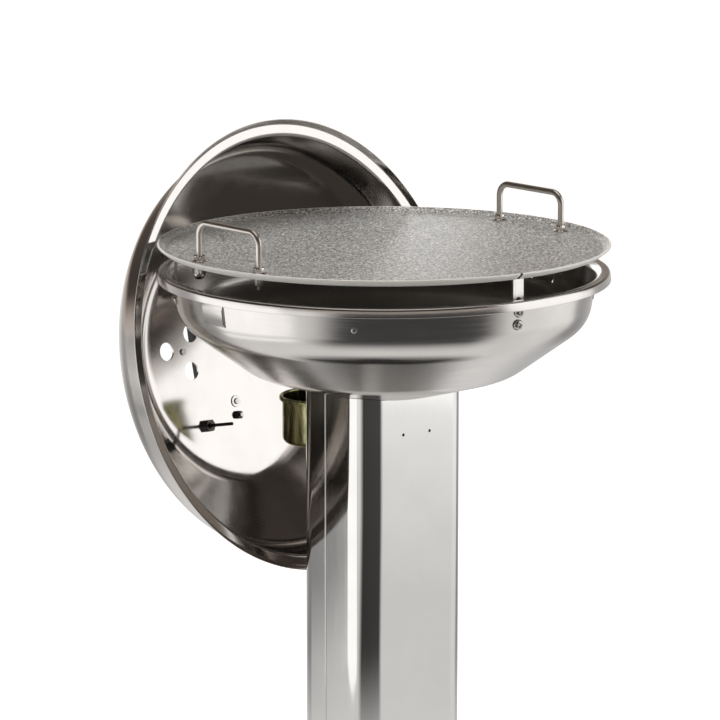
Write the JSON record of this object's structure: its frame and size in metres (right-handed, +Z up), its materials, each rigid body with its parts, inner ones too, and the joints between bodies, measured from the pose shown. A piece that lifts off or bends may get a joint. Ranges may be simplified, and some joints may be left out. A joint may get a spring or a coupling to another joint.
{
  "type": "pedestal grill",
  "caption": "Pedestal grill: a steel bowl on a column, with a round griddle plate on strips above it, a domed lid hung behind and a drip cup below.",
  "frame": {"origin": "on the floor below the bowl's axis", "axes": "+Z up, -Y to the front, where the griddle's drain slot is, +X to the grill's right as its picture shows it from the front"},
  "size_m": [0.5836, 0.6796, 1.0239],
  "materials": {
    "stainless_sheet": "satin rolled stainless steel sheet",
    "griddle_steel": "fine grey speckled enamel on steel",
    "polished_rod": "polished stainless rod",
    "zinc_fastener": "plain stainless and zinc fasteners",
    "yellow_zinc": "yellow passivated zinc on steel",
    "fire_steel": "heat darkened steel",
    "base_steel": "dark powder coated steel plate",
    "inner_steel": "plain galvanised steel",
    "foot_rubber": "black rubber",
    "grip_plastic": "black heat resistant plastic",
    "black_metal": "black oxide steel",
    "dial_white": "white painted dial",
    "needle_red": "red painted pointer",
    "clear_glass": "clear flat glass"
  },
  "bodies": {
    "stand": {"base_plate": "base_steel", "base_pad": "foot_rubber", "base_bolts": "zinc_fastener", "base_nuts": "zinc_fastener", "column_foot": "inner_steel", "column_front_shell": "stainless_sheet", "column_rear_shell": "stainless_sheet", "seam_strip_left": "inner_steel", "seam_strip_right": "inner_steel", "bowl_saddle": "inner_steel", "bowl": "stainless_sheet", "bowl_bolts": "zinc_fastener", "bowl_nuts": "zinc_fastener", "fire_pot": "fire_steel", "fire_grate": "fire_steel", "griddle_support_front": "stainless_sheet", "griddle_support_left": "stainless_sheet", "griddle_support_right": "stainless_sheet", "support_screws": "zinc_fastener", "support_nuts": "zinc_fastener", "grid_pegs": "zinc_fastener", "drain_tube": "zinc_fastener", "cup_holder": "stainless_sheet", "cup_magnet": "zinc_fastener", "cup_holder_screws": "zinc_fastener"},
    "griddle": {"griddle_plate": "griddle_steel", "griddle_handle_left": "polished_rod", "griddle_handle_right": "polished_rod", "handle_flange_nuts": "zinc_fastener", "handle_sleeve_nuts": "zinc_fastener", "handle_cap_nuts": "polished_rod"},
    "lid": {"lid_shell": "stainless_sheet", "lid_hook": "stainless_sheet", "lid_hook_rivets": "zinc_fastener", "lid_handle_brackets": "stainless_sheet", "lid_grip": "grip_plastic", "lid_grip_screws": "zinc_fastener", "lid_handle_bolts": "zinc_fastener", "lid_handle_nuts": "black_metal", "lid_handle_washers": "zinc_fastener", "lid_handle_rivets": "zinc_fastener", "vent_pivot": "zinc_fastener", "thermometer_case": "black_metal", "thermometer_nut": "black_metal", "thermometer_dial": "dial_white", "thermometer_glass": "clear_glass", "thermometer_bezel": "polished_rod"},
    "damper": {"vent_damper": "stainless_sheet"},
    "needle": {"thermometer_needle": "needle_red"},
    "cup": {"drip_cup": "yellow_zinc"}
  },
  "joints": [
    {"name": "griddle_lift", "type": "slide", "parent": "stand", "child": "griddle", "axis": [0, -0.7071, 0.7071], "range_m": [0, 0.4]},
    {"name": "lid_lift", "type": "slide", "parent": "stand", "child": "lid", "axis": [-0.1076, 0.7113, 0.6947], "range_m": [0, 0.35]},
    {"name": "vent_turn", "type": "hinge", "parent": "lid", "child": "damper", "pos_m": [-0.09911, 0.30483, 0.71629], "axis": [-0.1463, 0.9671, -0.2079], "range_deg": [0, 60]},
    {"name": "thermometer_turn", "type": "hinge", "parent": "lid", "child": "needle", "pos_m": [-0.07427, 0.29109, 0.61569], "axis": [0.1463, -0.9671, 0.2079], "range_deg": [0, 270]},
    {"name": "cup_pull", "type": "slide", "parent": "stand", "child": "cup", "axis": [0, 1, 0], "range_m": [0, 0.06]}
  ]
}
